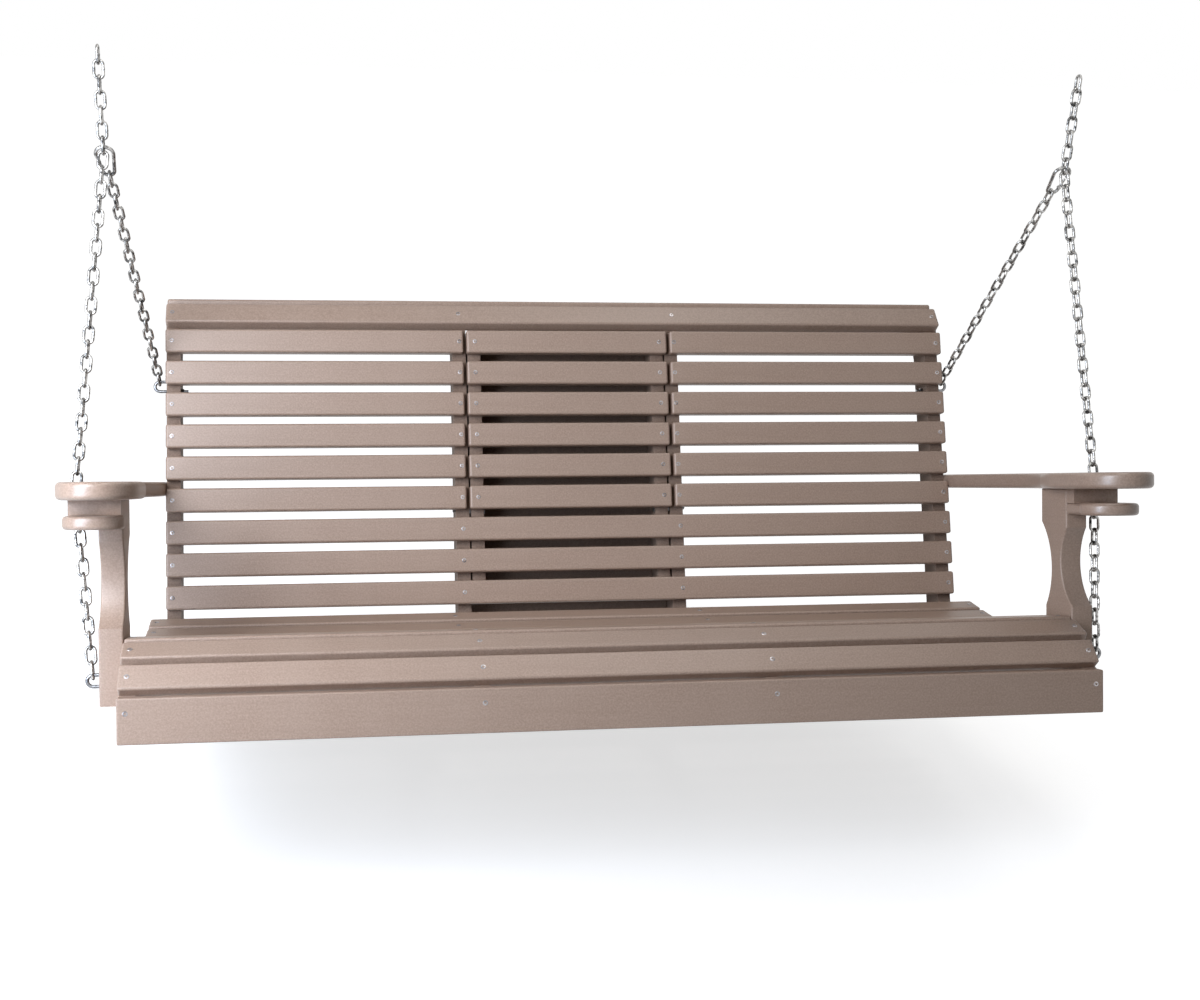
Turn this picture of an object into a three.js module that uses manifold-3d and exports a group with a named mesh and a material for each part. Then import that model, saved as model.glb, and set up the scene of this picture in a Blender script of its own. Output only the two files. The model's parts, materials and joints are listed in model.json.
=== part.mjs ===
// A 5 ft porch swing seat of plastic lumber that hangs on two chain bridles.
// Slatted seat and back on four seat rails and four uprights, a fold-down console in the middle of
// the back, wide arms with cup holders, and a chain, a snap hook and two U-bolts on each side.
//
// Units are mm. X runs along the seat, +Y to its back and +Z up.
// The seat is drawn in its own frame (Y = 0 on the front face of the apron, Z = 0 on the apron's top
// edge, arms level) and then leans back by hangLean, as it hangs, with the origin midway between the
// points where the two chains hang on their top links.
import * as THREE from "three";
import { mergeVertices } from "three/addons/utils/BufferGeometryUtils.js";
import Module from "manifold-3d";

const wasm = await Module();
wasm.setup();

// ---------------------------------------------------------------- driving dimensions
const clearance = 0.3; // between pieces that touch on the real seat

// slat stock
const slatWidth = 44.5;
const slatThickness = 22;
const slatRound = 4;

// back
const backRecline = THREE.MathUtils.degToRad(6.63);
const backPitch = 60.1;
const backRows = 9;
const consoleRows = 6;
const backFoot = { y: 500, z: 110.1 }; // middle of the lowest back slat, on its front face
const backHalfLength = 761.7;
const consoleHalfLength = 196.8;
const sideSlatInner = consoleHalfLength + 6.4; // where the side slats end beside the console
const capSlat = { back: 18, up: 59.9, lean: 36.1 }; // middle of its face from the top row's middle
const crestSlat = { back: 56.4, up: 27.6, lean: 90 }; // the same from the cap slat's middle

// uprights, which carry the back slats
const uprightThickness = 25.4;
const uprightDepth = 55;
const uprightNose = 40; // length of the curve from the upright's upper rear corner down
const endUprightOuter = backHalfLength;
const innerUprightOuter = consoleHalfLength + uprightThickness;

// seat
const railThickness = 25.4;
const seatHalfLength = endUprightOuter + clearance + railThickness; // the end rails clasp the uprights
const seatPitch = 56.8;
const seatStart = { y: 25, z: 32.5 }; // middle of the front seat slat, on its upper face
const seatSlopes = [45, 27, 5, -6, -11, -12, -3, 12, 13]; // degrees, front slat first
const apronHeight = 70.4;
const railTail = 78.7; // how far the rails run on behind the last slat
const railCut = 30; // across the rails' upper rear corner

// arms, posts and cup holders
const armThickness = 27;
const armTop = 323.5;
const armRear = 601;
const armRearWidth = 70;
const armRound = 4;
const armInnerRear = backHalfLength + clearance;
const postInner = seatHalfLength + clearance;
const postThickness = 38;
const postOuter = postInner + postThickness;
const armFrontCentre = postInner + 22.3;
const armFrontReach = 62; // how far the arm reaches in front of the apron
const armHalfWidth = 60;
const armSideReach = 79; // from the middle of the arm's front out to its widest point
const armBulge = armFrontCentre + armSideReach;
const chainHole = { x: armBulge - 23, y: 165, radius: 14 };
const cupHole = { x: armFrontCentre + 3, y: 28, radius: 42 };
const cupDisc = { x: armFrontCentre + 11, y: 40, radius: 46, thickness: 20.5 };
const cupBlock = { thickness: 25.4, outer: armBulge - 21, height: 24 };
const postFoot = { front: 100, rear: 189, bottom: -26.5, shoulderFront: 95, shoulderRear: 92 };
const postHead = { front: 118, rear: 203, shoulderFront: 229, shoulderRear: 238 };
const postScoop = { front: 28, rear: 26 }; // depth of the hollow sawn out of each edge of the post

// console that folds down out of the back
const consoleArmOuter = consoleHalfLength - 5.1;
const consoleArmThickness = 25.4;
const consoleArmDepth = 50;
const consoleTail = -5; // lower end of the console arms, up the back from backFoot
const trayThickness = 20;
const trayFrom = -35;
const trayTop = 17; // above the middle of the top console slat
const pivotUp = 19.6; // above the top edge of the fixed slat under the console
const pivotDepth = 13; // behind the front face of the console arms
const pivotBlock = { length: 20, height: 12 };
const pivotSlide = 50;
const pivotPin = 8;
const pivotHead = 15;

// chain and its fittings
const linkPitch = 23.3;
const chainWire = 4.8;
const linkWidth = 19.2;
const linkBite = 0.5; // how far neighbouring taut links of one chain press into each other
const bridleInset = 49; // of the hanging line from the holes in the arms
const hangHalfSpan = chainHole.x - bridleInset;
const topLinks = 6; // from the top link down to the snap hook
const frontLinks = 36;
const rearLinks = 21;
const snapReach = 50; // from the chain link to the rear chain, inside the snap hook
const snapWire = 6;
const snapTopRadius = 14;
const snapFootRadius = 9.5;
const snapMouth = 62; // degrees from the hook's axis to its open end
const gateWire = 4.8;
const boltWire = 6;
const boltSpacing = 18;
const frontBolt = { y: 112, z: 13, apex: postOuter + 19.3 };
const rearBolt = { y: 590, z: 503, apex: endUprightOuter + 23.3 };
const rearPull = { y: -400, z: 345 }; // the way the rear chain runs up from its U-bolt
const nutAcross = 11;
const nutHeight = 5;
const boltTail = 8;

// Leans the seat back until its centre of mass lies under the hanging line.
const hangLean = THREE.MathUtils.degToRad(18.4);

// ---------------------------------------------------------------- materials
const lumber = new THREE.MeshStandardMaterial({ color: 0xa8937f, roughness: 0.55, metalness: 0 });
const lumberShade = new THREE.MeshStandardMaterial({ color: 0x9b8675, roughness: 0.6, metalness: 0 });
const zinc = new THREE.MeshStandardMaterial({ color: 0xb9bdbf, roughness: 0.35, metalness: 1 });
const steel = new THREE.MeshStandardMaterial({ color: 0xc8cacc, roughness: 0.3, metalness: 1 });

// ---------------------------------------------------------------- geometry helpers
const rad = THREE.MathUtils.degToRad;
const v3 = (x, y, z) => new THREE.Vector3(x, y, z);
const X = v3(1, 0, 0);

function solidOf(geometry) {
  const bare = geometry.index ? geometry.toNonIndexed() : geometry;
  const positions = new THREE.BufferGeometry().setAttribute("position", bare.getAttribute("position"));
  const merged = mergeVertices(positions, 1e-3);
  return new wasm.Manifold(
    new wasm.Mesh({
      numProp: 3,
      vertProperties: merged.attributes.position.array,
      triVerts: new Uint32Array(merged.index.array),
    }),
  );
}

function geometryOf(solid) {
  const mesh = solid.getMesh();
  const geometry = new THREE.BufferGeometry();
  geometry.setAttribute("position", new THREE.BufferAttribute(mesh.vertProperties, 3));
  geometry.setIndex(new THREE.BufferAttribute(mesh.triVerts, 1));
  const flat = geometry.toNonIndexed();
  flat.computeVertexNormals();
  return flat;
}

const joined = (geometries) => geometryOf(geometries.map(solidOf).reduce((a, b) => a.add(b)));

// A profile in the YZ plane, drawn as a Shape with x = Y and y = Z, run along X from xa to xb.
function alongX(shape, xa, xb, { edge = 0, steps = 1 } = {}) {
  const geometry = new THREE.ExtrudeGeometry(shape, {
    depth: Math.abs(xb - xa) - 2 * edge,
    bevelEnabled: edge > 0,
    bevelThickness: edge,
    bevelSize: edge,
    bevelOffset: -edge,
    bevelSegments: 1,
    curveSegments: steps,
  });
  geometry.applyMatrix4(new THREE.Matrix4().makeBasis(v3(0, 1, 0), v3(0, 0, 1), X));
  return geometry.translate(Math.min(xa, xb) + edge, 0, 0);
}

// A plan in the XY plane, run up from zLow to zHigh.
function alongZ(shape, zLow, zHigh, { edge = 0, steps = 6 } = {}) {
  const geometry = new THREE.ExtrudeGeometry(shape, {
    depth: zHigh - zLow - 2 * edge,
    bevelEnabled: edge > 0,
    bevelThickness: edge,
    bevelSize: edge,
    bevelOffset: -edge,
    bevelSegments: 1,
    curveSegments: steps,
  });
  return geometry.translate(0, 0, zLow + edge);
}

// A round hole whose flats clear a pin of the same radius.
function hole(x, y, radius, sides = 8) {
  const corner = radius / Math.cos(Math.PI / sides);
  const points = Array.from({ length: sides }, (_, i) => {
    const angle = (2 * Math.PI * (i + 0.5)) / sides;
    return new THREE.Vector2(x + corner * Math.cos(angle), y + corner * Math.sin(angle));
  });
  return new THREE.Path(points);
}

function polygon(points) {
  return new THREE.Shape(points.map(([x, y]) => new THREE.Vector2(x, y)));
}

// Round bar of `sides` sides swept along planar points; a closed sweep is a ring.
function sweep(points, normal, radius, sides, closed) {
  const count = points.length;
  const positions = [];
  const faces = [];
  points.forEach((point, i) => {
    const before = points[closed ? (i + count - 1) % count : Math.max(i - 1, 0)];
    const after = points[closed ? (i + 1) % count : Math.min(i + 1, count - 1)];
    const into = (i || closed ? point.clone().sub(before) : after.clone().sub(point)).normalize();
    const tangent = after.clone().sub(before).normalize();
    const across = tangent.clone().cross(normal).normalize();
    const mitre = 1 / Math.max(tangent.dot(into), 0.5);
    for (let k = 0; k < sides; k++) {
      const angle = (2 * Math.PI * k) / sides;
      const corner = point
        .clone()
        .addScaledVector(across, Math.cos(angle) * radius * mitre)
        .addScaledVector(normal, Math.sin(angle) * radius);
      positions.push(corner.x, corner.y, corner.z);
    }
  });
  const rings = closed ? count : count - 1;
  for (let i = 0; i < rings; i++) {
    for (let k = 0; k < sides; k++) {
      const a = i * sides + k;
      const b = i * sides + ((k + 1) % sides);
      const c = ((i + 1) % count) * sides + k;
      const d = ((i + 1) % count) * sides + ((k + 1) % sides);
      faces.push(a, c, b, b, c, d);
    }
  }
  if (!closed) {
    const last = (count - 1) * sides;
    for (let k = 1; k < sides - 1; k++) {
      faces.push(0, k, k + 1);
      faces.push(last, last + k + 1, last + k);
    }
  }
  const geometry = new THREE.BufferGeometry();
  geometry.setAttribute("position", new THREE.Float32BufferAttribute(positions, 3));
  geometry.setIndex(faces);
  geometry.computeVertexNormals();
  return geometry;
}

function arc(cx, cy, radius, from, to, steps) {
  return Array.from({ length: steps + 1 }, (_, i) => {
    const angle = rad(from + ((to - from) * i) / steps);
    return v3(cx + radius * Math.cos(angle), cy + radius * Math.sin(angle), 0);
  });
}

function node(parent, name, geometry, material) {
  const mesh = new THREE.Mesh(geometry, material.clone());
  mesh.name = name;
  parent.add(mesh);
  return mesh;
}

const swing = new THREE.Group();
const seat = new THREE.Group();
swing.add(seat);

// ---------------------------------------------------------------- slats
// A slat's place is the middle of its show face; `slope` is the slope of its width in the YZ plane.
function slatPlace(y, z, slope) {
  const along = { y: Math.cos(slope), z: Math.sin(slope) };
  const out = { y: -along.z, z: along.y };
  return {
    at: (u, depth) => [y + along.y * u - out.y * depth, z + along.z * u - out.z * depth],
  };
}

function roundedBar(place, width, thickness, round) {
  const corner = (u, depth) => new THREE.Vector2(...place.at(u, depth));
  const half = width / 2;
  const corners = [
    [-half, 0, 0, round, round, 0],
    [half, 0, -round, 0, 0, round],
    [half, thickness, 0, -round, -round, 0],
    [-half, thickness, round, 0, 0, -round],
  ];
  const shape = new THREE.Shape();
  corners.forEach(([u, depth, u1, d1, u2, d2], i) => {
    const from = corner(u + u1, depth + d1);
    const tip = corner(u, depth);
    const to = corner(u + u2, depth + d2);
    if (i) shape.lineTo(from.x, from.y);
    else shape.moveTo(from.x, from.y);
    shape.quadraticCurveTo(tip.x, tip.y, to.x, to.y);
  });
  shape.closePath();
  return shape;
}

function slat(name, place, xa, xb, parent = seat) {
  const shape = roundedBar(place, slatWidth, slatThickness, slatRound);
  return node(parent, name, alongX(shape, xa, xb, { steps: 2 }), lumber);
}

// Corners of the face that a slat rests on, from its lower or front edge to its upper or rear edge.
function bearing(place) {
  const depth = slatThickness + clearance;
  return [place.at(-slatWidth / 2, depth), place.at(slatWidth / 2, depth)];
}

// Places on the back: `up` along it from backFoot and `behind` its front face.
const backSlope = Math.PI / 2 - backRecline;
const onBack = (up, behind) => slatPlace(backFoot.y, backFoot.z, backSlope).at(up, behind);
const rowUp = (row) => (backRows - row) * backPitch;
function rowPlace(row) {
  const [y, z] = onBack(rowUp(row), 0);
  return slatPlace(y, z, backSlope);
}
function beyond(place, { back, up, lean }) {
  const [y, z] = place.at(0, 0);
  return slatPlace(y + back, z + up, rad(90 - lean));
}
const capPlace = beyond(rowPlace(1), capSlat);
const crestPlace = beyond(capPlace, crestSlat);

function buildBackSlats() {
  for (let row = 1; row <= backRows; row++) {
    const place = rowPlace(row);
    if (row <= consoleRows) {
      slat(`back_slat_${row}_left`, place, -backHalfLength, -sideSlatInner);
      slat(`back_slat_${row}_right`, place, sideSlatInner, backHalfLength);
    } else {
      slat(`back_slat_${row}`, place, -backHalfLength, backHalfLength);
    }
  }
  slat("back_cap_slat", capPlace, -backHalfLength, backHalfLength);
  slat("back_crest_slat", crestPlace, -backHalfLength, backHalfLength);
}

// Seat slats follow a contour: a steep front edge, a dip, and a rise to the back.
function seatPlaces() {
  const places = [];
  let { y, z } = seatStart;
  seatSlopes.forEach((slope, i) => {
    if (i) {
      const step = rad((slope + seatSlopes[i - 1]) / 2);
      y += seatPitch * Math.cos(step);
      z += seatPitch * Math.sin(step);
    }
    places.push(slatPlace(y, z, rad(slope)));
  });
  return places;
}

function buildSeatSlats() {
  seatPlaces().forEach((place, i) => {
    slat(`seat_slat_${i + 1}`, place, -seatHalfLength, seatHalfLength);
  });
}

// ---------------------------------------------------------------- seat rails and apron
const boltLevels = (bolt) => [bolt.z - boltSpacing / 2, bolt.z + boltSpacing / 2];

function railShape() {
  const top = seatPlaces().flatMap(bearing);
  const front = slatThickness + clearance;
  const [, frontTop] = top[0];
  const [lastY, rearTop] = top[top.length - 1];
  const rear = lastY + railTail;
  return polygon([
    [front, -apronHeight],
    [rear, -apronHeight],
    [rear, rearTop - railCut],
    [rear - railCut, rearTop],
    ...top.reverse(),
    [front, frontTop - clearance],
  ]);
}

function buildSeatFrame() {
  const apronShape = roundedBar(
    slatPlace(0, -apronHeight / 2, Math.PI / 2), apronHeight, slatThickness, slatRound / 2,
  );
  node(seat, "front_apron",
    alongX(apronShape, -seatHalfLength, seatHalfLength, { edge: 1.5, steps: 1 }), lumber);
  for (const [side, word] of [[-1, "left"], [1, "right"]]) {
    const endShape = railShape();
    for (const z of boltLevels(frontBolt)) {
      endShape.holes.push(hole(frontBolt.y, z, boltWire / 2 + clearance));
    }
    const outer = side * seatHalfLength;
    const inner = side * (seatHalfLength - railThickness);
    node(seat, `seat_rail_end_${word}`, alongX(endShape, outer, inner, { steps: 3 }), lumberShade);
    const near = side * (innerUprightOuter + clearance);
    const far = side * (innerUprightOuter + clearance + railThickness);
    node(seat, `seat_rail_inner_${word}`, alongX(railShape(), near, far), lumberShade);
  }
}

// ---------------------------------------------------------------- uprights
const uprightFront = slatThickness + clearance;
const uprightBack = uprightFront + uprightDepth;
const pivotRowTop = rowUp(consoleRows + 1) + slatWidth / 2;
const pivotPlace = onBack(pivotRowTop + pivotUp, uprightFront + pivotDepth);

function uprightShape() {
  const crest = bearing(crestPlace);
  const cap = bearing(capPlace);
  const foot = (behind) => {
    const [y, z] = onBack(0, behind);
    return [y - (z + apronHeight) * Math.tan(backRecline), -apronHeight];
  };
  const shape = polygon([
    foot(uprightFront),
    onBack(rowUp(1) + slatWidth / 2, uprightFront),
    ...cap,
    ...crest,
  ]);
  const [tipY, tipZ] = crest[1];
  shape.quadraticCurveTo(tipY, tipZ - uprightNose, ...onBack(rowUp(2) + uprightNose, uprightBack));
  shape.lineTo(...foot(uprightBack));
  shape.closePath();
  return shape;
}

function buildUprights() {
  for (const [side, word] of [[-1, "left"], [1, "right"]]) {
    const end = uprightShape();
    for (const z of boltLevels(rearBolt)) {
      end.holes.push(hole(rearBolt.y, z, boltWire / 2 + clearance));
    }
    const inner = uprightShape();
    inner.holes.push(hole(...pivotPlace, pivotPin / 2 + clearance));
    const outerFace = side * endUprightOuter;
    node(seat, `upright_end_${word}`,
      alongX(end, outerFace, outerFace - side * uprightThickness, { steps: 4 }), lumberShade);
    const innerFace = side * innerUprightOuter;
    node(seat, `upright_inner_${word}`,
      alongX(inner, innerFace, innerFace - side * uprightThickness, { steps: 4 }), lumberShade);
  }
}

// ---------------------------------------------------------------- arms, posts, cup rests
function armShape(side) {
  const at = (x, y) => [side * x, y];
  const shape = new THREE.Shape();
  shape.moveTo(...at(armInnerRear, armRear));
  const inner = armFrontCentre - armHalfWidth;
  const outer = armFrontCentre + armHalfWidth;
  shape.lineTo(...at(armInnerRear, 300));
  shape.bezierCurveTo(...at(armInnerRear, 180), ...at(inner, 120), ...at(inner, 25));
  shape.bezierCurveTo(...at(inner, -25), ...at(inner + 26, -armFrontReach),
    ...at(armFrontCentre, -armFrontReach));
  shape.bezierCurveTo(...at(outer - 24, -armFrontReach), ...at(outer, -25), ...at(outer + 4, 25));
  shape.bezierCurveTo(...at(outer + 8, 80), ...at(armBulge, 110), ...at(armBulge, chainHole.y));
  const rearOuter = endUprightOuter + clearance + armRearWidth;
  shape.bezierCurveTo(...at(armBulge, 260), ...at(rearOuter, 330), ...at(rearOuter, 480));
  shape.lineTo(...at(rearOuter, armRear));
  shape.closePath();
  shape.holes.push(hole(...at(chainHole.x, chainHole.y), chainHole.radius, 16));
  shape.holes.push(hole(...at(cupHole.x, cupHole.y), cupHole.radius, 32));
  return shape;
}

const armBottom = armTop - armThickness;

// Circular arc from `from` to `to` that bows by `depth` to the left of the way there.
function bow(shape, from, to, depth) {
  const start = new THREE.Vector2(...from);
  const end = new THREE.Vector2(...to);
  const chord = end.clone().sub(start);
  const radius = (chord.lengthSq() / 4 + depth * depth) / (2 * depth);
  const left = new THREE.Vector2(-chord.y, chord.x).normalize();
  const centre = start.clone().add(end).multiplyScalar(0.5).addScaledVector(left, depth - radius);
  const angle = (point) => point.clone().sub(centre).angle();
  shape.lineTo(...from);
  shape.absarc(centre.x, centre.y, radius, angle(start), angle(end), true);
}

function postShape() {
  const top = armBottom - clearance;
  const shape = new THREE.Shape();
  shape.moveTo(postFoot.front, postFoot.bottom);
  shape.lineTo(postFoot.rear, postFoot.bottom);
  bow(shape, [postFoot.rear, postFoot.shoulderRear], [postHead.rear, postHead.shoulderRear],
    postScoop.rear);
  shape.lineTo(postHead.rear, top);
  shape.lineTo(postHead.front, top);
  bow(shape, [postHead.front, postHead.shoulderFront], [postFoot.front, postFoot.shoulderFront],
    postScoop.front);
  shape.closePath();
  for (const z of boltLevels(frontBolt)) {
    shape.holes.push(hole(frontBolt.y, z, boltWire / 2 + clearance));
  }
  return shape;
}

// Disc for the cup with a tongue back to the post, and the block that hangs it from the arm.
function cupRest(side) {
  const rear = postHead.front - clearance;
  const top = armBottom - clearance;
  const discTop = top - cupBlock.height;
  const at = (x, y) => [side * x, y];
  const plan = (front) => polygon([
    at(postInner, front), at(postInner, rear), at(cupBlock.outer, rear), at(cupBlock.outer, front),
  ]);
  const disc = new THREE.Shape();
  disc.absarc(side * cupDisc.x, cupDisc.y, cupDisc.radius, 0, 2 * Math.PI, false);
  return joined([
    alongZ(disc, discTop - cupDisc.thickness, discTop, { edge: armRound, steps: 12 }),
    alongZ(plan(cupDisc.y), discTop - cupDisc.thickness, discTop),
    alongZ(plan(rear - cupBlock.thickness), discTop - 1, top),
  ]);
}

function buildArms() {
  for (const [side, word] of [[-1, "left"], [1, "right"]]) {
    node(seat, `arm_${word}`, alongZ(armShape(side), armBottom, armTop, { edge: armRound, steps: 5 }),
      lumber);
    node(seat, `arm_post_${word}`,
      alongX(postShape(), side * postInner, side * postOuter, { edge: 2, steps: 5 }), lumber);
    node(seat, `cup_rest_${word}`, cupRest(side), lumber);
  }
}

// ---------------------------------------------------------------- console
const pivotRise = pivotRowTop + pivotUp;

function consoleArmShape() {
  const front = uprightFront;
  const rear = uprightFront + consoleArmDepth;
  const top = rowUp(1) + slatWidth / 2;
  const shape = polygon([
    onBack(consoleTail, front), onBack(top, front), onBack(top, rear - 14), onBack(top - 14, rear),
    onBack(consoleTail + 14, rear), onBack(consoleTail, rear - 14),
  ]);
  const slack = clearance;
  const half = pivotBlock.height / 2 + slack;
  const centre = front + pivotDepth;
  const low = pivotRise - pivotSlide - pivotBlock.length / 2 - slack;
  const high = pivotRise + pivotBlock.length / 2 + slack;
  const slot = new THREE.Path(
    [onBack(low, centre - half), onBack(low, centre + half), onBack(high, centre + half),
      onBack(high, centre - half)].map(([x, y]) => new THREE.Vector2(x, y)),
  );
  shape.holes.push(slot);
  return shape;
}

// The console slats are screwed to their two arms; they press into them by a hair so that the
// panel is one body.
function buildConsole() {
  const pieces = [];
  for (const side of [-1, 1]) {
    const outer = side * consoleArmOuter;
    pieces.push(alongX(consoleArmShape(), outer, outer - side * consoleArmThickness));
  }
  for (let row = 1; row <= consoleRows; row++) {
    const [y, z] = onBack(rowUp(row), 0);
    const shape = roundedBar(
      slatPlace(y, z, backSlope), slatWidth, slatThickness + 2 * clearance, slatRound,
    );
    pieces.push(alongX(shape, -consoleHalfLength, consoleHalfLength, { steps: 2 }));
  }
  node(seat, "console_panel", joined(pieces), lumber);
  const face = uprightFront + consoleArmDepth + clearance;
  const trayTo = rowUp(1) + trayTop;
  const middle = (trayFrom + trayTo) / 2;
  const [y, z] = onBack(middle, face);
  const trayShape = roundedBar(slatPlace(y, z, backSlope), trayTo - trayFrom, trayThickness, 3);
  node(seat, "console_tray",
    alongX(trayShape, -consoleArmOuter, consoleArmOuter, { edge: 2, steps: 1 }), lumber);
}

// Flat-sided block in the slot of the console arm, on a bolt through the upright.
function consolePivot(side) {
  const outerFace = innerUprightOuter;
  const bearingFace = innerUprightOuter - uprightThickness;
  const blockNear = bearingFace - clearance;
  const blockFar = consoleArmOuter - consoleArmThickness;
  const [y, z] = pivotPlace;
  const place = slatPlace(y, z, backSlope);
  const half = pivotBlock.length / 2;
  const block = polygon([
    place.at(-half, -pivotBlock.height / 2), place.at(half, -pivotBlock.height / 2),
    place.at(half, pivotBlock.height / 2), place.at(-half, pivotBlock.height / 2),
  ]);
  const round = (radius) => new THREE.Shape().absarc(y, z, radius, 0, 2 * Math.PI, false);
  const head = outerFace + clearance;
  return joined([
    alongX(block, side * blockFar, side * blockNear),
    alongX(round(pivotPin / 2), side * (blockNear - 2), side * (head + 2), { steps: 6 }),
    alongX(round(pivotHead / 2), side * head, side * (head + 5), { steps: 6 }),
  ]);
}

function buildPivots() {
  for (const [side, word] of [[-1, "left"], [1, "right"]]) {
    node(seat, `console_pivot_${word}`, consolePivot(side), steel);
  }
}

// ---------------------------------------------------------------- how the seat hangs
// Leans a point of the seat frame back and moves it under the hanging line.
const toWorld = new THREE.Matrix4();
const world = (x, y, z) => v3(x, y, z).applyMatrix4(toWorld);

// The junction of the bridle in the seat frame, where both chains reach with whole links.
function junction() {
  const hole = v3(chainHole.x, chainHole.y, armTop - armThickness / 2);
  const foot = frontChainEnd();
  const frontReach = frontLinks * linkPitch - hole.distanceTo(foot);
  const back = rearChainEnd();
  const rearReach = snapReach + rearLinks * linkPitch;
  const a = Math.sqrt(frontReach ** 2 - (hole.x - hangHalfSpan) ** 2);
  const b = Math.sqrt(rearReach ** 2 - (back.x - hangHalfSpan) ** 2);
  const dy = back.y - hole.y;
  const dz = back.z - hole.z;
  const d = Math.hypot(dy, dz);
  const along = (a * a - b * b + d * d) / (2 * d);
  const up = Math.sqrt(a * a - along * along);
  return v3(
    hangHalfSpan,
    hole.y + (along * dy - up * dz) / d,
    hole.z + (along * dz + up * dy) / d,
  );
}

// Where the last link of each chain bears on the upper leg of its U-bolt, for the right side.
function chainEnd(bolt, pullY, pullZ) {
  const [, upper] = boltLevels(bolt);
  const reach = (boltWire / 2 + linkBite / 2 + 2 * clearance) / Math.hypot(pullY, pullZ);
  return v3(bolt.apex - boltSpacing / 2, bolt.y - pullY * reach, upper - pullZ * reach);
}

const frontChainEnd = () => chainEnd(frontBolt, chainHole.y - frontBolt.y, armTop - frontBolt.z);
const rearChainEnd = () => chainEnd(rearBolt, rearPull.y, rearPull.z);

const hangHeight = 3 * clearance + linkBite; // between the crowns that bear on each other
const kneeHeight = hangHeight / 2 - topLinks * linkPitch;
const junctionPoint = junction();
toWorld.makeRotationX(-hangLean);
const leaned = junctionPoint.clone().applyMatrix4(toWorld);
toWorld.setPosition(0, -leaned.y, kneeHeight - leaned.z);
seat.applyMatrix4(toWorld);

// ---------------------------------------------------------------- chain
// One link in the XY plane with its length along X; its crowns are drawn round as half octagons.
function linkLoop() {
  const crown = (linkWidth - chainWire) / 2;
  const half = (linkPitch - linkBite + chainWire) / 2;
  const flat = crown * Math.tan(Math.PI / 8);
  const straight = half - crown + flat;
  const corners = [
    [half, -flat], [half, flat], [straight, crown], [-straight, crown],
    [-half, flat], [-half, -flat], [-straight, -crown], [straight, -crown],
  ];
  return corners.map(([x, y]) => v3(x, y, 0));
}

// A link between two bearing points; `wide` is the direction of its width.
function link(from, to, wide) {
  const along = to.clone().sub(from).normalize();
  const normal = along.clone().cross(wide).normalize();
  const across = normal.clone().cross(along);
  const place = new THREE.Matrix4().makeBasis(along, across, normal);
  place.setPosition(from.clone().add(to).multiplyScalar(0.5));
  return sweep(linkLoop(), v3(0, 0, 1), chainWire / 2, 4, true).applyMatrix4(place);
}

// The ends of `count` equal links along a line of straight stretches.
function bearingPoints(route, count) {
  const points = [];
  const total = route.slice(1).reduce((sum, to, i) => sum + route[i].distanceTo(to), 0);
  let stretch = 0;
  let start = 0;
  for (let i = 0; i <= count; i++) {
    const reach = (i * total) / count;
    while (stretch < route.length - 2 &&
      reach > start + route[stretch].distanceTo(route[stretch + 1]) + 1e-6) {
      start += route[stretch].distanceTo(route[stretch + 1]);
      stretch += 1;
    }
    const from = route[stretch];
    const to = route[stretch + 1];
    points.push(from.clone().lerp(to, (reach - start) / from.distanceTo(to)));
  }
  return points;
}

// Taut chain along a route; every second link stands across the others.
function chain(route, count, firstAcross) {
  const points = bearingPoints(route, count);
  const links = [];
  for (let i = 0; i < count; i++) {
    const along = points[i + 1].clone().sub(points[i]).normalize();
    const side = along.clone().cross(X).normalize();
    const wide = i % 2 === (firstAcross ? 1 : 0) ? X : side;
    links.push(link(points[i], points[i + 1], wide));
  }
  return joined(links);
}

// ---------------------------------------------------------------- snap hook
// In the hook's plane X runs from the chain link to the rear chain, 0 on the inside of the top bend.
const snapTop = snapTopRadius - snapWire / 2;
const snapFoot = snapReach - (snapFootRadius - snapWire / 2);
const gateKnuckle = 3;
const gateHinge = v3(snapFoot - 3.5, snapFootRadius, 0);
const gateTip = v3(snapTop + 9.5, snapTopRadius - 2.6, 0);

function snapPlace(side) {
  const top = snapBearing(side);
  const foot = world(side * rearChainEnd().x, rearChainEnd().y, rearChainEnd().z);
  const along = foot.sub(top).normalize();
  const normal = along.clone().cross(X).multiplyScalar(side).normalize();
  const across = normal.clone().cross(along);
  return new THREE.Matrix4().makeBasis(along, across, normal).setPosition(top);
}

// Where the inside of the hook's top bend lies on the crown of the chain link below it.
function snapBearing(side) {
  return v3(side * hangHalfSpan, 1, kneeHeight + chainWire + 7 * clearance);
}

function snapBody() {
  const points = [
    ...arc(snapTop, 0, snapTopRadius, snapMouth, 270, 8),
    ...arc(snapFoot, 0, snapFootRadius, -90, 90, 6),
  ];
  return sweep(points, v3(0, 0, 1), snapWire / 2, 6, false);
}

function snapGate() {
  const knuckle = new THREE.CylinderGeometry(gateKnuckle, gateKnuckle, snapWire, 10);
  knuckle.rotateX(Math.PI / 2).translate(gateHinge.x, gateHinge.y, 0);
  const bar = sweep([gateTip, gateHinge], v3(0, 0, 1), gateWire / 2, 6, false);
  return joined([knuckle, bar]);
}

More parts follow.
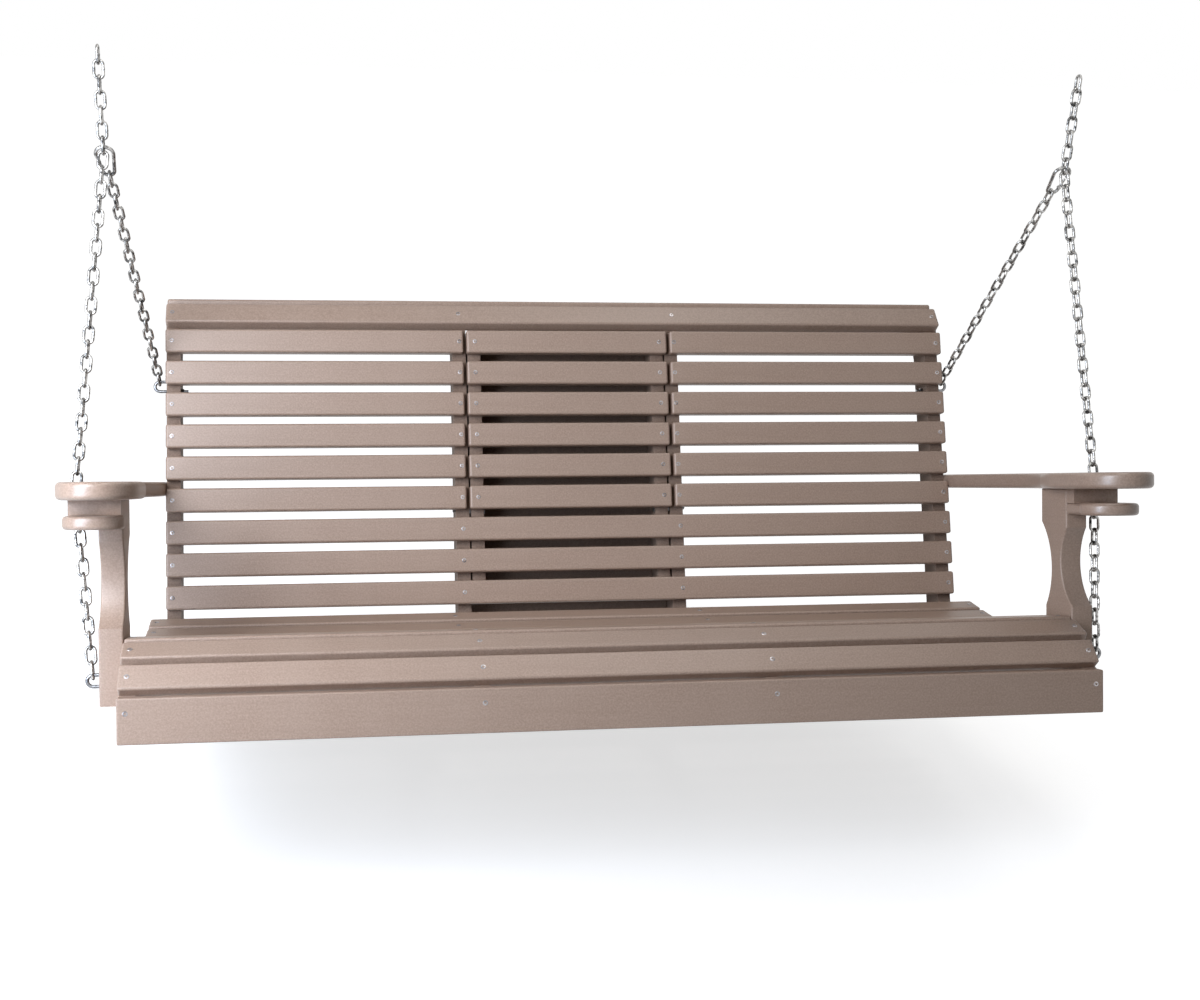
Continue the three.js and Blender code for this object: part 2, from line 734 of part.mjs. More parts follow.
// ---------------------------------------------------------------- U-bolts
// A U-bolt with its legs along X, from the bow at the apex to the nuts on the far face.
function uBolt(bolt, innerFace) {
  const half = boltSpacing / 2;
  const bend = boltSpacing / 2;
  const tail = innerFace - clearance - nutHeight - boltTail;
  const points = [
    v3(tail, half, 0),
    ...arc(bolt.apex - bend, 0, half, 90, -90, 6),
    v3(tail, -half, 0),
  ];
  const rod = sweep(points, v3(0, 0, 1), boltWire / 2, 6, false);
  const nuts = [half, -half].map((y) => {
    const nut = new THREE.CylinderGeometry(nutAcross / 2, nutAcross / 2, nutHeight, 6);
    return nut.rotateZ(Math.PI / 2).translate(innerFace - clearance - nutHeight / 2, y, 0);
  });
  const standing = new THREE.Matrix4().makeBasis(X, v3(0, 0, 1), v3(0, -1, 0));
  standing.setPosition(0, bolt.y, bolt.z);
  return joined([rod, ...nuts]).applyMatrix4(standing);
}

function mirrored(geometry, side) {
  if (side > 0) return geometry;
  const flipped = geometry.clone().applyMatrix4(new THREE.Matrix4().makeScale(-1, 1, 1));
  const position = flipped.getAttribute("position");
  for (let i = 0; i < position.count; i += 3) {
    const b = v3().fromBufferAttribute(position, i + 1);
    const c = v3().fromBufferAttribute(position, i + 2);
    position.setXYZ(i + 1, c.x, c.y, c.z);
    position.setXYZ(i + 2, b.x, b.y, b.z);
  }
  flipped.computeVertexNormals();
  return flipped;
}

function buildHanging() {
  for (const [side, word] of [[-1, "left"], [1, "right"]]) {
    const at = (point) => world(side * point.x, point.y, point.z);
    const hang = v3(side * hangHalfSpan, 0, hangHeight / 2);
    const crown = v3(hang.x, 0, -hangHeight / 2);
    const lift = v3(hang.x, 0, crown.z + linkPitch);
    node(swing, `top_link_${word}`, joined([link(crown, lift, v3(0, 1, 0))]), zinc);
    const knee = v3(hang.x, 0, kneeHeight);
    const armHole = at(v3(chainHole.x, chainHole.y, armTop - armThickness / 2));
    const route = [hang, knee, armHole, at(frontChainEnd())];
    node(swing, `main_chain_${word}`, chain(route, topLinks + frontLinks, false), zinc);
    const place = snapPlace(side);
    node(swing, `snap_hook_${word}`, joined([snapBody().applyMatrix4(place)]), zinc);
    node(swing, `snap_gate_${word}`, snapGate().applyMatrix4(place), zinc);
    const rearStart = v3(snapReach - linkBite / 2 - 2 * clearance, 0, 0).applyMatrix4(place);
    node(swing, `rear_chain_${word}`, chain([rearStart, at(rearChainEnd())], rearLinks, true), zinc);
    const innerRail = seatHalfLength - railThickness;
    node(seat, `post_u_bolt_${word}`, mirrored(uBolt(frontBolt, innerRail), side), steel);
    const innerUpright = endUprightOuter - uprightThickness;
    node(seat, `back_u_bolt_${word}`, mirrored(uBolt(rearBolt, innerUpright), side), steel);
  }
}

buildSeatSlats();
buildSeatFrame();
buildBackSlats();
buildUprights();
buildArms();
buildConsole();
buildPivots();
buildHanging();

export default swing;
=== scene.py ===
"""Looks of the porch swing seat: moulded plastic lumber, zinc chain and stainless screws.

Lengths are in metres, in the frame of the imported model. Points given as seat points are in the
seat's own frame, where the arms are level: Y = 0 is the front of the apron and Z = 0 its top edge.
"""
import json
import math

import bmesh
import bpy
from mathutils import Matrix, Vector


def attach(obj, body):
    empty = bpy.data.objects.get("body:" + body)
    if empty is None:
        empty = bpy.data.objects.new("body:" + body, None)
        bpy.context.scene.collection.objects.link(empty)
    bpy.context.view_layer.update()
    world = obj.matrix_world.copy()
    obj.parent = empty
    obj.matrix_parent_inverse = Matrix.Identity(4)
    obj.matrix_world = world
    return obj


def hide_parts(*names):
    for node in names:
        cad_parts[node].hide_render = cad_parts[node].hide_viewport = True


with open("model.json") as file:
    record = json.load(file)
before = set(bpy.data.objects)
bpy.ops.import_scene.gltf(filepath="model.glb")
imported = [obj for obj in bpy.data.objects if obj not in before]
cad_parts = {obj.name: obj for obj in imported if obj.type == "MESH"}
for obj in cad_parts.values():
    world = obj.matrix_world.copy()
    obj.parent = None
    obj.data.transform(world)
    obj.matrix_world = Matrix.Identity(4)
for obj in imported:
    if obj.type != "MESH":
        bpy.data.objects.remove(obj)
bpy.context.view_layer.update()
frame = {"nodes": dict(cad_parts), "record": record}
scene = bpy.context.scene

SIDES = ((-1, "left"), (1, "right"))
X_AXIS, Y_AXIS, Z_AXIS = Vector((1, 0, 0)), Vector((0, 1, 0)), Vector((0, 0, 1))
QUARTER = math.pi / 2

# ---------------------------------------------------------------- the seat's own frame
GAP = 0.0003
RECLINE = math.radians(6.63)
APRON_MOUNT = Vector((0, 0, -0.035))
BACK_FOOT_Y, BACK_FOOT_Z = 0.5, 0.1101

mounts = {m["name"]: m for m in frame["record"]["mounts"]}
apron_normal = mounts["apron_front"]["axis"]
lean = math.atan2(apron_normal[2], -apron_normal[1])
SEAT = Matrix.Rotation(-lean, 4, "X")
SEAT.translation = Vector(mounts["apron_front"]["pos_m"]) - SEAT.to_3x3() @ APRON_MOUNT


def seat_point(x, y, z):
    return SEAT @ Vector((x, y, z))


def on_back(up_back, behind):
    """Seat point (y, z) at a height up the back and a depth behind the slats' faces."""
    return (BACK_FOOT_Y + up_back * math.sin(RECLINE) + behind * math.cos(RECLINE),
            BACK_FOOT_Z + up_back * math.cos(RECLINE) - behind * math.sin(RECLINE))


def frame_of(x, y, z, origin):
    """Matrix with the given axes and origin."""
    matrix = Matrix((x, y, z)).transposed().to_4x4()
    matrix.translation = origin
    return matrix


# ---------------------------------------------------------------- camera
# as fitted to the photo
CAMERA_RIGHT = Vector((0.990399, -0.13393, 0.034251))
CAMERA_UP = Vector((0.012249, 0.331806, 0.943268))
CAMERA_BACK = Vector((-0.137697, -0.933792, 0.330261))
CAMERA_AT = Vector((-0.4936, -2.42513, 0.10861))

camera = bpy.data.objects.new("camera", bpy.data.cameras.new("camera"))
scene.collection.objects.link(camera)
camera.matrix_world = frame_of(CAMERA_RIGHT, CAMERA_UP, CAMERA_BACK, CAMERA_AT)
camera.data.sensor_width = 36
camera.data.lens = 43.2853
camera.data.shift_x = 0.07238
camera.data.shift_y = 0.00698
camera.data.clip_start = 0.05
camera.data.clip_end = 60
scene.camera = camera


# ---------------------------------------------------------------- materials
def linear(r, g, b):
    """Linear colour of sRGB levels from 0 to 255."""
    def one(c):
        c /= 255
        return c / 12.92 if c <= 0.04045 else ((c + 0.055) / 1.055) ** 2.4

    return (one(r), one(g), one(b), 1.0)


class Nodes:
    """Short names for making and linking a material's nodes."""

    def __init__(self, name):
        self.material = bpy.data.materials.new(name)
        self.material.use_nodes = True
        self.tree = self.material.node_tree
        self.shader = self.tree.nodes["Principled BSDF"]

    def new(self, kind, **values):
        node = self.tree.nodes.new(kind)
        for key, value in values.items():
            setattr(node, key, value)
        return node

    def link(self, a, b):
        self.tree.links.new(a, b)

    def coords(self, scale=(1, 1, 1), turn=(0, 0, 0)):
        texture = self.new("ShaderNodeTexCoord")
        mapping = self.new("ShaderNodeMapping")
        mapping.inputs["Scale"].default_value = scale
        mapping.inputs["Rotation"].default_value = turn
        self.link(texture.outputs["Object"], mapping.inputs["Vector"])
        return mapping.outputs["Vector"]

    def noise(self, vector, scale, detail=2.0, rough=0.5):
        node = self.new("ShaderNodeTexNoise")
        node.inputs["Scale"].default_value = scale
        node.inputs["Detail"].default_value = detail
        node.inputs["Roughness"].default_value = rough
        self.link(vector, node.inputs["Vector"])
        return node.outputs["Fac"]

    def spread(self, value, low, high, to_low, to_high):
        """The value's range from low to high stretched onto to_low to to_high."""
        node = self.new("ShaderNodeMapRange")
        for socket, number in zip(range(1, 5), (low, high, to_low, to_high)):
            node.inputs[socket].default_value = number
        self.link(value, node.inputs[0])
        return node.outputs[0]

    def mix(self, factor, a, b):
        node = self.new("ShaderNodeMix", data_type="RGBA")
        for socket, value in ((node.inputs[0], factor), (node.inputs[6], a), (node.inputs[7], b)):
            if isinstance(value, bpy.types.NodeSocket):
                self.link(value, socket)
            else:
                socket.default_value = value
        return node.outputs[2]

    def bump(self, height, strength, distance, under=None):
        node = self.new("ShaderNodeBump")
        node.inputs["Strength"].default_value = strength
        node.inputs["Distance"].default_value = distance
        self.link(height, node.inputs["Height"])
        if under is not None:
            self.link(under, node.inputs["Normal"])
        return node.outputs["Normal"]


# sRGB levels of the lumber's mottling, its streaks and its lighter clouds
MOTTLE_DARK, MOTTLE_LIGHT = (147, 123, 107), (169, 144, 127)
STREAKS, CLOUDS = (140, 116, 100), (170, 147, 131)
STREAK_SCALE = (5, 160, 160)
# turns that lay the streaks along a board that doesn't run along X
UP, FRONT_TO_BACK = (0, QUARTER, 0), (0, 0, QUARTER)


def lumber(name, turn=(0, 0, 0), shade=1.0, rough=0.44, gloss=0.65):
    """Plastic lumber: fine mottling, faint streaks along the board and a satin skin; a shade under
    1 darkens it all as painted shade.
    """
    def tone(levels):
        return linear(*(level * shade for level in levels))

    n = Nodes(name)
    plain = n.coords()
    along = n.coords(STREAK_SCALE, turn)
    broad = n.noise(plain, scale=9)
    mottle = n.noise(plain, scale=330, detail=3, rough=0.6)
    streak = n.noise(along, scale=1, detail=3, rough=0.6)
    base = n.mix(n.spread(mottle, 0.35, 0.65, 0, 1), tone(MOTTLE_DARK), tone(MOTTLE_LIGHT))
    base = n.mix(n.spread(streak, 0.4, 0.72, 0, 0.25), base, tone(STREAKS))
    base = n.mix(n.spread(broad, 0.35, 0.7, 0, 0.25), base, tone(CLOUDS))
    n.link(base, n.shader.inputs["Base Color"])
    n.link(n.spread(mottle, 0.3, 0.7, rough - 0.06, rough + 0.06), n.shader.inputs["Roughness"])
    n.shader.inputs["Specular IOR Level"].default_value = gloss
    grain = n.bump(streak, strength=0.35, distance=0.0004)
    skin_bump = n.bump(mottle, strength=0.3, distance=0.0002, under=grain)
    n.link(skin_bump, n.shader.inputs["Normal"])
    return n.material


def metal(name, light, dark, rough):
    """Plated or bare steel, uneven in light and dark patches that are rougher where darker."""
    n = Nodes(name)
    plain = n.coords()
    patch = n.noise(plain, scale=140, detail=3, rough=0.6)
    fine = n.noise(plain, scale=1400)
    base = n.mix(n.spread(patch, 0.38, 0.66, 0, 1), light, dark)
    n.link(base, n.shader.inputs["Base Color"])
    n.link(n.spread(patch, 0.3, 0.7, rough - 0.06, rough + 0.12), n.shader.inputs["Roughness"])
    n.shader.inputs["Metallic"].default_value = 1.0
    n.link(n.bump(fine, strength=0.15, distance=0.0001), n.shader.inputs["Normal"])
    return n.material


BOARD = lumber("board_along_seat")
# the uprights, and the console's arms with them: the lumber darkened as painted shade for the
# uprights' faces behind the slats
UPRIGHT_PAINTED_SHADE = lumber("board_up_painted_shade", turn=UP, shade=0.86, rough=0.55, gloss=0.05)
POST = lumber("board_post", turn=UP)
DEEP = lumber("board_front_to_back", turn=FRONT_TO_BACK, rough=0.36, gloss=0.8)
# the arms' inner side faces: a darker, duller copy of the lumber, painted shade
INNER_FACE_PAINTED_SHADE = lumber("board_inner_face_painted_shade", turn=FRONT_TO_BACK, shade=0.97, rough=0.46, gloss=0.4)
# the console's tray: the lumber darkened as painted shade for the hollow behind the console's
# slats
TRAY_PAINTED_SHADE = lumber("board_inside_painted_shade", shade=0.84, rough=0.55, gloss=0.05)
# the chain's strong light and dark patches are painted highlights and painted dark reflections
ZINC_PAINTED_HIGHLIGHTS = metal("zinc_plate_painted_highlights", linear(196, 194, 191), linear(62, 62, 62), 0.26)
STEEL = metal("stainless", linear(150, 150, 152), linear(104, 105, 108), 0.28)
SCREWS = metal("screw_heads", linear(182, 177, 177), linear(112, 106, 104), 0.42)


# ---------------------------------------------------------------- mesh helpers
def add(name, mesh, matrix, material, body, nodes=()):
    """A new piece that rides on a body and takes the place of the given nodes."""
    piece = bpy.data.objects.new(name, mesh)
    scene.collection.objects.link(piece)
    piece.matrix_world = matrix
    piece.data.materials.append(material)
    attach(piece, body)
    if nodes:
        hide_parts(*nodes)
    return piece


def smooth(mesh, degrees):
    """Smooth shading with sharp edges where faces meet at more than the angle."""
    for polygon in mesh.polygons:
        polygon.use_smooth = True
    mesh.set_sharp_from_angle(angle=math.radians(degrees))
    return mesh


def weight_normals(piece):
    modifier = piece.modifiers.new("normals", "WEIGHTED_NORMAL")
    modifier.keep_sharp = True


def mesh_of(bm, name):
    bmesh.ops.recalc_face_normals(bm, faces=bm.faces)
    mesh = bpy.data.meshes.new(name)
    bm.to_mesh(mesh)
    bm.free()
    return mesh


def copies(name, source, matrices, sharp):
    """Copies of the source mesh at the given matrices, in one mesh."""
    bm = bmesh.new()
    for matrix in matrices:
        one = bmesh.new()
        one.from_mesh(source)
        one.transform(matrix)
        part = bpy.data.meshes.new("part")
        one.to_mesh(part)
        one.free()
        bm.from_mesh(part)
        bpy.data.meshes.remove(part)
    return smooth(mesh_of(bm, name), sharp)


def skin(bm, lower, upper):
    """Faces between two rings that have the same number of points."""
    for i in range(len(lower)):
        j = (i + 1) % len(lower)
        bm.faces.new((lower[i], lower[j], upper[j], upper[i]))


def around(x, y, radius, angle):
    """The point (x, y) at an angle on a circle about a centre."""
    return x + radius * math.cos(angle), y + radius * math.sin(angle)


def circle(x, y, radius, count):
    return [around(x, y, radius, 2 * math.pi * i / count) for i in range(count)]


def bow(a, b, depth, count=20):
    """Points of a circular arc from a to b that bows to the left of the way there."""
    a, b = Vector(a), Vector(b)
    chord = b - a
    radius = (chord.length_squared / 4 + depth * depth) / (2 * depth)
    centre = (a + b) / 2 + Vector((-chord.y, chord.x)).normalized() * (depth - radius)
    start = math.atan2(a.y - centre.y, a.x - centre.x)
    turn = 2 * math.asin(chord.length / 2 / radius)
    return [around(centre.x, centre.y, radius, start - turn * i / count)
            for i in range(count + 1)]


def bezier(a, b, c, d, count):
    """Points after a on the curve that b and c pull from a to d."""
    points = []
    for i in range(1, count + 1):
        t = i / count
        points.append(tuple(
            (1 - t) ** 3 * p + 3 * t * (1 - t) ** 2 * q + 3 * t * t * (1 - t) * r + t ** 3 * s
            for p, q, r, s in zip(a, b, c, d)))
    return points


def board_mesh(name, length, width, thickness, rounding, steps=4):
    """A board with every edge rounded: X along it, Y across its face, Z out of its face."""
    bm = bmesh.new()
    bmesh.ops.create_cube(bm, size=1)
    bmesh.ops.scale(bm, vec=(length, width, thickness), verts=bm.verts)
    bmesh.ops.bevel(bm, geom=bm.edges, offset=rounding, segments=steps, profile=0.5,
                    affect="EDGES", clamp_overlap=True)
    return smooth(mesh_of(bm, name), 50)


def ring_offset(points, distance):
    """The closed outline moved inwards by distance; outline points run anticlockwise."""
    count = len(points)
    moved = []
    for i, p in enumerate(points):
        a = (p - points[i - 1]).normalized()
        b = (points[(i + 1) % count] - p).normalized()
        na, nb = Vector((-a.y, a.x)), Vector((-b.y, b.x))
        middle = (na + nb).normalized()
        moved.append(p + middle * (distance / max(middle.dot(na), 0.35)))
    return moved


def plate_mesh(name, outline, low, high, rounding, holes=(), hole_rounding=0.0, steps=4,
               sharp=40):
    """A plate cut to an outline, with rounded edges: X and Y in its plane, Z through it."""
    bm = bmesh.new()
    low_rims, high_rims = [], []
    # 0 is on the side wall and the last of these angles on the plate's face
    angles = [k * math.pi / 2 / steps for k in range(steps + 1)]
    loops = [(outline, rounding, 1)] + [(hole, hole_rounding, -1) for hole in holes]
    for points, radius, sense in loops:
        points = [Vector(p) for p in points]
        signed_area = sum(a.x * b.y - b.x * a.y for a, b in zip(points, points[1:] + points[:1]))
        if signed_area < 0:
            points.reverse()
        levels = [(low + radius * (1 - math.sin(t)), radius * (1 - math.cos(t))) for t in angles]
        levels += [(high - radius * (1 - math.sin(t)), radius * (1 - math.cos(t)))
                   for t in reversed(angles)]
        rings = [[bm.verts.new((p.x, p.y, height)) for p in ring_offset(points, sense * inset)]
                 for height, inset in levels]
        # from the low face up to the high one
        rings = rings[:steps + 1][::-1] + rings[steps + 1:][::-1]
        for lower, upper in zip(rings, rings[1:]):
            skin(bm, lower, upper)
        for rims, ring in ((low_rims, rings[0]), (high_rims, rings[-1])):
            rims += [bm.edges.get(ends) for ends in zip(ring, ring[1:] + ring[:1])]
    for rims in (low_rims, high_rims):
        bmesh.ops.triangle_fill(bm, use_beauty=True, use_dissolve=False, edges=rims)
    return smooth(mesh_of(bm, name), sharp)


def tube(bm, points, radii, sides, normal, closed=False):
    """Round bar along points; normal keeps its section from twisting."""
    rings = []
    count = len(points)
    for i, (p, radius) in enumerate(zip(points, radii)):
        a = points[i - 1] if closed or i else p
        b = points[(i + 1) % count] if closed or i < count - 1 else p
        along = (b - a).normalized()
        side = along.cross(normal).normalized()
        over = side.cross(along).normalized()
        section = circle(0, 0, radius, sides)
        rings.append([bm.verts.new(p + side * u + over * v) for u, v in section])
    for lower, upper in zip(rings, rings[1:] + rings[:1] if closed else rings[1:]):
        skin(bm, lower, upper)
    if not closed:
        bm.faces.new(rings[0])
        bm.faces.new(rings[-1])


# ---------------------------------------------------------------- slats
SLAT_WIDTH, SLAT_THICK, CAP_THICK, SLAT_ROUND = 0.0445, 0.0248, 0.0268, 0.0042
ROWS, CONSOLE_ROWS, PITCH = 9, 6, 0.0601
# ends of the slats on seat X: back, inner end of the short ones, console, seat
HALF, SIDE_INNER, CONSOLE_HALF, SEAT_HALF = 0.762, 0.2032, 0.1968, 0.7876
# face of the front seat slat, and the slopes in degrees from there to the back
SEAT_FRONT_Y, SEAT_FRONT_Z, SEAT_PITCH = 0.0236, 0.0297, 0.0568
SEAT_SLOPES = (52, 27, -2, -8, -10, -8, 0, 12, 13)
APRON_HEIGHT, APRON_ROUND = 0.0704, 0.0025


def place(y, z, slope):
    """Frame of a slat's face: X along the slat, Y across its face, Z out of it."""
    across = Vector((0, math.cos(slope), math.sin(slope)))
    return SEAT @ frame_of(X_AXIS, across, X_AXIS.cross(across), Vector((0, y, z)))


def rise(row):
    """Height up the back of a row of slats; row 1 is the top one."""
    return (ROWS - row) * PITCH


def back_place(row):
    y, z = on_back(rise(row), 0)
    return place(y, z, QUARTER - RECLINE)


def slat(name, at, low, high, body="swing", node=None, thick=SLAT_THICK):
    mesh = board_mesh(name, high - low, SLAT_WIDTH, thick, SLAT_ROUND)
    matrix = at @ Matrix.Translation(((low + high) / 2, 0, -thick / 2))
    weight_normals(add(name, mesh, matrix, BOARD, body, [node] if node else ()))


CAP = place(0.5733, 0.6426, math.radians(57))
CREST = place(0.6297, 0.6712, 0.0)
APRON = place(0, -APRON_HEIGHT / 2, QUARTER)
seat_places = []
y, z = SEAT_FRONT_Y, SEAT_FRONT_Z
for i, slope in enumerate(SEAT_SLOPES):
    if i:
        step = math.radians((slope + SEAT_SLOPES[i - 1]) / 2)
        y += SEAT_PITCH * math.cos(step)
        z += SEAT_PITCH * math.sin(step)
    seat_places.append(place(y, z, math.radians(slope)))

for row in range(1, ROWS + 1):
    at = back_place(row)
    if row <= CONSOLE_ROWS:
        slat(f"slat_{row}_left", at, -HALF, -SIDE_INNER, node=f"back_slat_{row}_left")
        slat(f"slat_{row}_right", at, SIDE_INNER, HALF, node=f"back_slat_{row}_right")
        slat(f"console_slat_{row}", at, -CONSOLE_HALF, CONSOLE_HALF, "console",
             "console_panel" if row == 1 else None)
    else:
        slat(f"slat_{row}", at, -HALF, HALF, node=f"back_slat_{row}")
slat("cap_slat", CAP, -HALF, HALF, node="back_cap_slat", thick=CAP_THICK)
slat("crest_slat", CREST, -HALF, HALF, node="back_crest_slat")
for i, at in enumerate(seat_places):
    slat(f"seat_board_{i + 1}", at, -SEAT_HALF, SEAT_HALF, node=f"seat_slat_{i + 1}")

mesh = board_mesh("apron", 2 * SEAT_HALF, APRON_HEIGHT, SLAT_THICK, APRON_ROUND, steps=3)
at = APRON @ Matrix.Translation((0, 0, -SLAT_THICK / 2))
weight_normals(add("apron", mesh, at, BOARD, "swing", ["front_apron"]))

# ---------------------------------------------------------------- uprights, rails and pivots
EDGE_BEVEL, EDGE_ANGLE = 0.0012, math.radians(35)


def dress(node, material):
    """The solid itself is shown, in its own material."""
    node.data.materials.clear()
    node.data.materials.append(material)


for name, node in frame["nodes"].items():
    if name.startswith(("upright", "seat_rail")):
        dress(node, UPRIGHT_PAINTED_SHADE if name.startswith("upright") else DEEP)
        bevel = node.modifiers.new("edges", "BEVEL")
        bevel.width, bevel.segments, bevel.limit_method = EDGE_BEVEL, 2, "ANGLE"
        bevel.angle_limit = EDGE_ANGLE
        bevel.harden_normals = True
    elif name.startswith("console_pivot"):
        dress(node, STEEL)

# ---------------------------------------------------------------- console behind its slats
# frame of a plate on edge: its X and Y are the seat's Y and Z, its Z is the seat's X
ON_EDGE = SEAT @ Matrix(((0, 0, 1, 0), (1, 0, 0, 0), (0, 1, 0, 0), (0, 0, 0, 1)))
# two arms: their faces on seat X, the rounding of their edges, and then, across the arm, the
# depth of its near edge behind the slats' faces, its width and its cut corners
CONSOLE_ARM_IN, CONSOLE_ARM_OUT = 0.1679, 0.1933
CONSOLE_ROUND, SLOT_ROUND = 0.0015, 0.0005
CONSOLE_NEAR, CONSOLE_DEEP, CONSOLE_CORNER = 0.0223, 0.050, 0.014
CONSOLE_FOOT, CONSOLE_TOP = -0.005, rise(1) + SLAT_WIDTH / 2
# the slot in them that the guide block of a pivot runs in
PIVOT_RISE, PIVOT_DEPTH = rise(7) + SLAT_WIDTH / 2 + 0.0196, CONSOLE_NEAR + 0.013
SLIDE, BLOCK_HALF_LONG, BLOCK_HALF_DEEP = 0.05, 0.01, 0.006
# the board behind them, which is the tray when the console is folded down
TRAY_HALF, TRAY_THICK, TRAY_ROUND = 0.1962, 0.020, 0.002
TRAY_LOW, TRAY_HIGH = -0.0385, rise(1) + 0.017


def back_box(low, high, near, far):
    """Outline from low to high up the back and from near to far behind the slats' faces."""
    return [on_back(low, near), on_back(low, far), on_back(high, far), on_back(high, near)]


console_far = CONSOLE_NEAR + CONSOLE_DEEP
console_outline = [on_back(CONSOLE_FOOT, CONSOLE_NEAR),
                   on_back(CONSOLE_FOOT, console_far - CONSOLE_CORNER),
                   on_back(CONSOLE_FOOT + CONSOLE_CORNER, console_far),
                   on_back(CONSOLE_TOP - CONSOLE_CORNER, console_far),
                   on_back(CONSOLE_TOP, console_far - CONSOLE_CORNER),
                   on_back(CONSOLE_TOP, CONSOLE_NEAR)]
slot_outline = back_box(PIVOT_RISE - SLIDE - BLOCK_HALF_LONG - GAP,
                        PIVOT_RISE + BLOCK_HALF_LONG + GAP,
                        PIVOT_DEPTH - BLOCK_HALF_DEEP - GAP,
                        PIVOT_DEPTH + BLOCK_HALF_DEEP + GAP)
for side, word in SIDES:
    low, high = sorted((side * CONSOLE_ARM_IN, side * CONSOLE_ARM_OUT))
    mesh = plate_mesh(f"console_arm_{word}", console_outline, low, high, CONSOLE_ROUND,
                      [slot_outline], SLOT_ROUND, steps=2)
    add(f"console_arm_{word}", mesh, ON_EDGE, UPRIGHT_PAINTED_SHADE, "console")

tray_near = console_far + GAP
tray_outline = back_box(TRAY_LOW, TRAY_HIGH, tray_near, tray_near + TRAY_THICK)
mesh = plate_mesh("tray_board", tray_outline, -TRAY_HALF, TRAY_HALF, TRAY_ROUND)
# the tray's darker lumber is painted shade
weight_normals(add("tray_board", mesh, ON_EDGE, TRAY_PAINTED_SHADE, "console", ["console_tray"]))

# ---------------------------------------------------------------- posts
POST_IN, POST_THICK, POST_ROUND, BOLT_HOLE_ROUND = 0.7877, 0.038, 0.003, 0.0003
POST_FOOT, POST_TOP = -0.0265, 0.2962
# front and rear edge on seat Y, at the foot and at the head
FOOT_FRONT, FOOT_REAR, HEAD_FRONT, HEAD_REAR = 0.1, 0.189, 0.118, 0.203
# the hollow in either edge: its lower and upper end and its depth
REAR_HOLLOW, FRONT_HOLLOW = (0.092, 0.238, 0.026), (0.095, 0.229, 0.028)
# U-bolts: seat point (y, z) of their middle and the reach of their bow on seat X
FRONT_BOLT, FRONT_APEX = (0.112, 0.013), 0.845
REAR_BOLT, REAR_APEX = (0.590, 0.503), 0.785
BOLT_HALF, BOLT_ROD = 0.009, 0.003

post_outline = [(FOOT_FRONT, POST_FOOT), (FOOT_REAR, POST_FOOT)]
low, high, depth = REAR_HOLLOW
post_outline += bow((FOOT_REAR, low), (HEAD_REAR, high), depth)
post_outline += [(HEAD_REAR, POST_TOP), (HEAD_FRONT, POST_TOP)]
low, high, depth = FRONT_HOLLOW
post_outline += bow((HEAD_FRONT, high), (FOOT_FRONT, low), depth)
bolt_holes = [circle(FRONT_BOLT[0], FRONT_BOLT[1] + dz, BOLT_ROD + GAP, 16)
              for dz in (-BOLT_HALF, BOLT_HALF)]
for side, word in SIDES:
    low, high = sorted((side * POST_IN, side * (POST_IN + POST_THICK)))
    mesh = plate_mesh(f"post_{word}", post_outline, low, high, POST_ROUND, bolt_holes,
                      BOLT_HOLE_ROUND, steps=8, sharp=15)
    add(f"post_{word}", mesh, ON_EDGE, POST, "swing", [f"arm_post_{word}"])

# ---------------------------------------------------------------- arms
ARM_TOP, ARM_THICK, ARM_ROUND, HOLE_ROUND = 0.3235, 0.027, 0.0075, 0.004
# seat X of the inner edge, its waist and the outer edge at the rear
ARM_IN, ARM_WAIST, REAR_OUT = 0.762, 0.781, 0.832
# seat X of the front pad: inner edge, foremost point, outer edge and widest point
FRONT_IN, FRONT_MID, FRONT_OUT, BULGE = 0.750, 0.810, 0.870, 0.889
# seat Y of the arm's front and rear, and of the widest point, where the chain passes
ARM_FRONT, ARM_REAR, BULGE_Y = -0.062, 0.601, 0.165
CHAIN_HOLE, CHAIN_HOLE_RADIUS = (0.866, BULGE_Y), 0.014
CUP_HOLE, CUP_HOLE_RADIUS = (0.813, 0.028), 0.042
# which side faces of an arm get the painted-shade copy of the lumber: facing and least seat Y
PAINTED_SHADE_FACING, PAINTED_SHADE_FROM = -0.7, 0.17


def arm_outline(side):
    """The arm from its inner rear corner along the inner edge, the pad and the outer edge."""
    p = [(ARM_IN, ARM_REAR), (ARM_IN, 0.52)]
    p += bezier((ARM_IN, 0.52), (ARM_IN + 0.004, 0.4), (ARM_WAIST, 0.33), (ARM_WAIST, 0.25), 12)
    p += bezier((ARM_WAIST, 0.25), (ARM_WAIST, 0.18), (FRONT_IN, 0.15), (FRONT_IN, 0.085), 14)
    p += [(FRONT_IN, 0.055), (FRONT_IN, 0.025)]
    p += bezier((FRONT_IN, 0.025), (FRONT_IN, -0.025), (FRONT_IN + 0.026, ARM_FRONT),
                (FRONT_MID, ARM_FRONT), 14)
    p += bezier((FRONT_MID, ARM_FRONT), (FRONT_OUT - 0.024, ARM_FRONT), (FRONT_OUT, -0.025),
                (FRONT_OUT + 0.004, 0.025), 14)
    p += bezier((FRONT_OUT + 0.004, 0.025), (FRONT_OUT + 0.008, 0.08), (BULGE, 0.11),
                (BULGE, BULGE_Y), 14)
    p += bezier((BULGE, BULGE_Y), (BULGE, 0.26), (REAR_OUT, 0.33), (REAR_OUT, 0.48), 16)
    p += [(REAR_OUT, ARM_REAR)]
    return [(side * x, y) for x, y in p]


